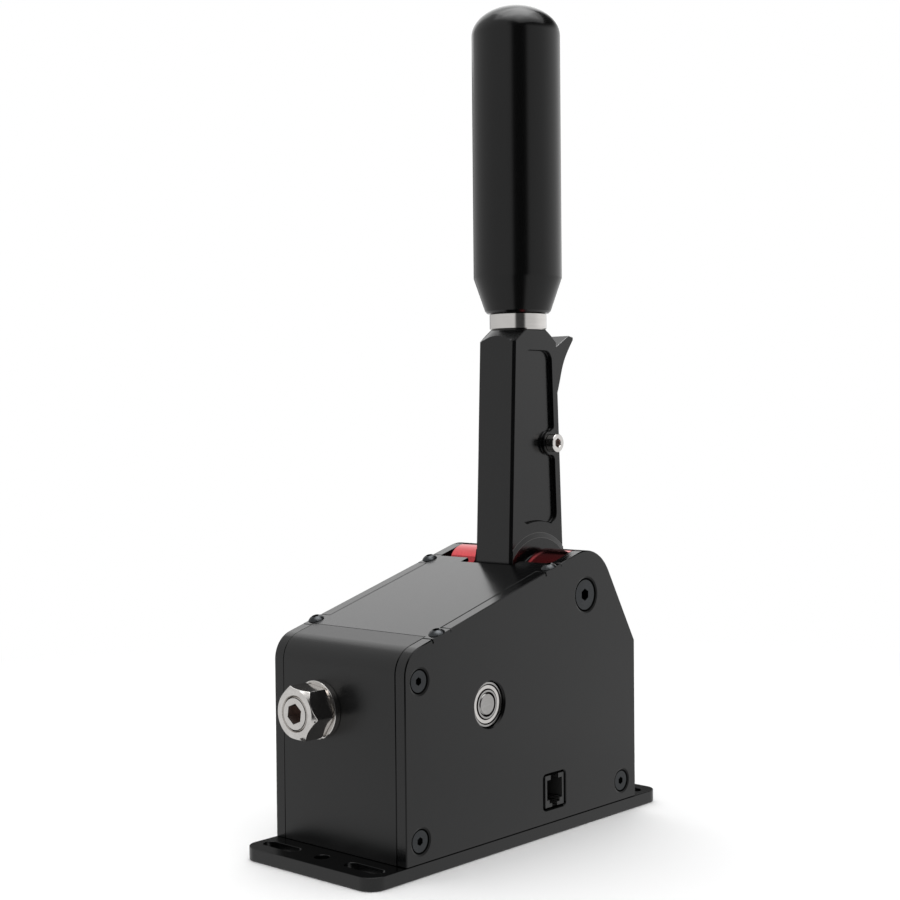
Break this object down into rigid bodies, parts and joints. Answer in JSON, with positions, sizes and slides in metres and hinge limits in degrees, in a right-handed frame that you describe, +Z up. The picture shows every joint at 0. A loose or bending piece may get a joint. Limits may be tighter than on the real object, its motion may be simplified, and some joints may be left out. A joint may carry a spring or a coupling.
{
  "type": "sim racing hand brake lever",
  "caption": "Upright pull lever with a round grip and finger trigger, sprung on a pivot in a plated housing with a slotted base, a front stop screw and a side socket.",
  "frame": {"origin": "middle of the base plate's underside", "axes": "+Z up along the lever at rest, -Y to the front with the stop screw, +X to the side with the socket"},
  "size_m": [0.0644, 0.16, 0.3068],
  "materials": {
    "black_anodised": "bead-blasted, black anodised",
    "red_anodised": "turned, red anodised",
    "steel": "turned, bright",
    "polished_steel": "polished",
    "black_steel": "black oxide",
    "bronze": "plain",
    "black_plastic": "moulded",
    "circuit_board": "solder mask",
    "grip_black": "satin"
  },
  "bodies": {
    "housing": {"base_plate": "black_anodised", "base_screws": "black_steel", "right_side_plate": "black_anodised", "left_side_plate": "black_anodised", "side_plate_screws": "black_steel", "front_block": "black_anodised", "rear_block": "black_anodised", "top_cover": "black_anodised", "cover_screws": "black_steel", "pivot_axle": "steel", "pivot_screws": "black_steel", "right_hub_collar": "red_anodised", "left_hub_collar": "red_anodised", "bearing_outer_rings": "steel", "bearing_balls": "steel", "bearing_shields": "steel", "lock_nut": "steel", "lock_washer": "steel", "modular_jack": "black_plastic", "jack_contacts": "bronze", "main_board": "circuit_board", "board_spacers": "steel", "board_screws": "steel", "angle_sensor": "black_plastic"},
    "lever": {"lever_arm": "black_anodised", "lever_bushes": "bronze", "sensor_magnet": "steel", "rod_end_bolt": "steel", "rod_end_nut": "steel", "grip_ring": "polished_steel", "grip_stud": "steel", "grip": "grip_black", "trigger_screw": "steel", "trigger_spring": "steel", "trigger_switch": "black_plastic"},
    "trigger": {"trigger": "black_anodised"},
    "pull_rod": {"rod_end": "steel", "pull_rod": "steel", "spring_seat": "steel"},
    "cross_bar": {"cross_bar": "steel", "cross_bar_bush": "bronze", "bearing_inner_rings": "steel", "return_spring": "steel"},
    "stop_screw": {"stop_screw": "steel"}
  },
  "joints": [
    {"name": "lever_pull", "type": "hinge", "parent": "housing", "child": "lever", "pos_m": [0, 0.0335, 0.085], "axis": [1, 0, 0], "range_deg": [0, 12], "stiffness_Nm_per_rad": 20, "springref_deg": -5.73, "deforming": ["return_spring"]},
    {"name": "trigger_squeeze", "type": "hinge", "parent": "lever", "child": "trigger", "pos_m": [0, 0.0421, 0.1409], "axis": [1, 0, 0], "range_deg": [0, 5], "stiffness_Nm_per_rad": 0.8, "springref_deg": -5.73, "deforming": ["trigger_spring"]},
    {"name": "rod_swing", "type": "hinge", "parent": "lever", "child": "pull_rod", "pos_m": [-0.0085, 0.0335, 0.0521], "axis": [1, 0, 0], "range_deg": [-11.46, 0]},
    {"name": "cross_bar_swivel", "type": "hinge", "parent": "housing", "child": "cross_bar", "pos_m": [0, -0.0216, 0.0521], "axis": [1, 0, 0], "range_deg": [0, 0.54]},
    {"name": "stop_screw_travel", "type": "slide", "parent": "housing", "child": "stop_screw", "axis": [0, -1, 0], "range_m": [0, 0.004]}
  ],
  "couplings": [
    {"joint": "rod_swing", "follows": "lever_pull", "ratio": -0.955},
    {"joint": "cross_bar_swivel", "follows": "lever_pull", "ratio": 0.045}
  ]
}
